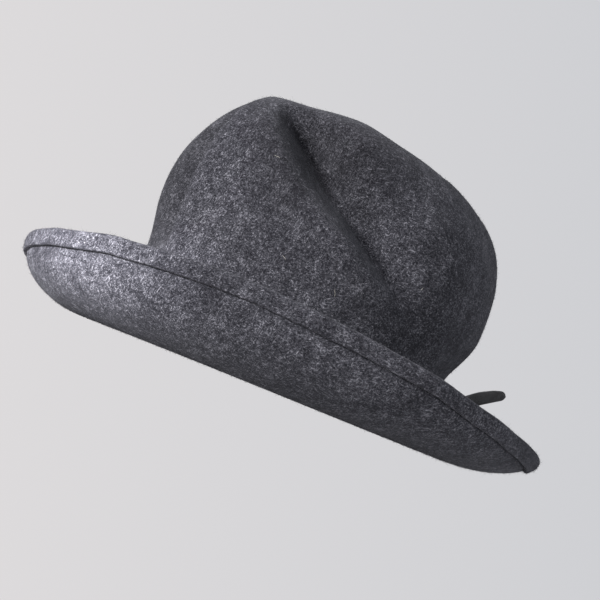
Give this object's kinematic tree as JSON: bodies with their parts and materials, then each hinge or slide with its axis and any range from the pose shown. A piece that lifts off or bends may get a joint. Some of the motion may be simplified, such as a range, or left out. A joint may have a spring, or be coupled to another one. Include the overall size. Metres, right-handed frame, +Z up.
{
  "type": "felt hat",
  "caption": "Wool felt hat with a tall crown pinched at the front, a brim rolled up all round with a stitched folded hem, and a narrow black band with a tied tail.",
  "frame": {"origin": "centre of the hat's plan box, on the flat surface it stands on brim-down", "axes": "+Z up through the crown, front of the hat toward -Y, wearer's left toward +X"},
  "size_m": [0.2886, 0.3151, 0.1447],
  "materials": {
    "felt": "matte",
    "ribbon": "matte",
    "sweatband": "matte",
    "thread": "matte",
    "wire": "satin",
    "tag": "satin"
  },
  "bodies": {
    "root": {"crown": "felt", "brim": "felt", "brim_wire": "wire", "wire_sleeve": "wire", "welt_stitching": "thread", "crown_seam_stitching": "thread", "hat_band": "ribbon", "bow_knot": "ribbon", "bow_tail_upper": "ribbon", "bow_tail_lower": "ribbon", "band_tack_stitches": "thread", "sweatband": "sweatband", "sweatband_stitching": "thread", "sweatband_join": "sweatband", "size_tag": "tag"}
  },
  "joints": []
}
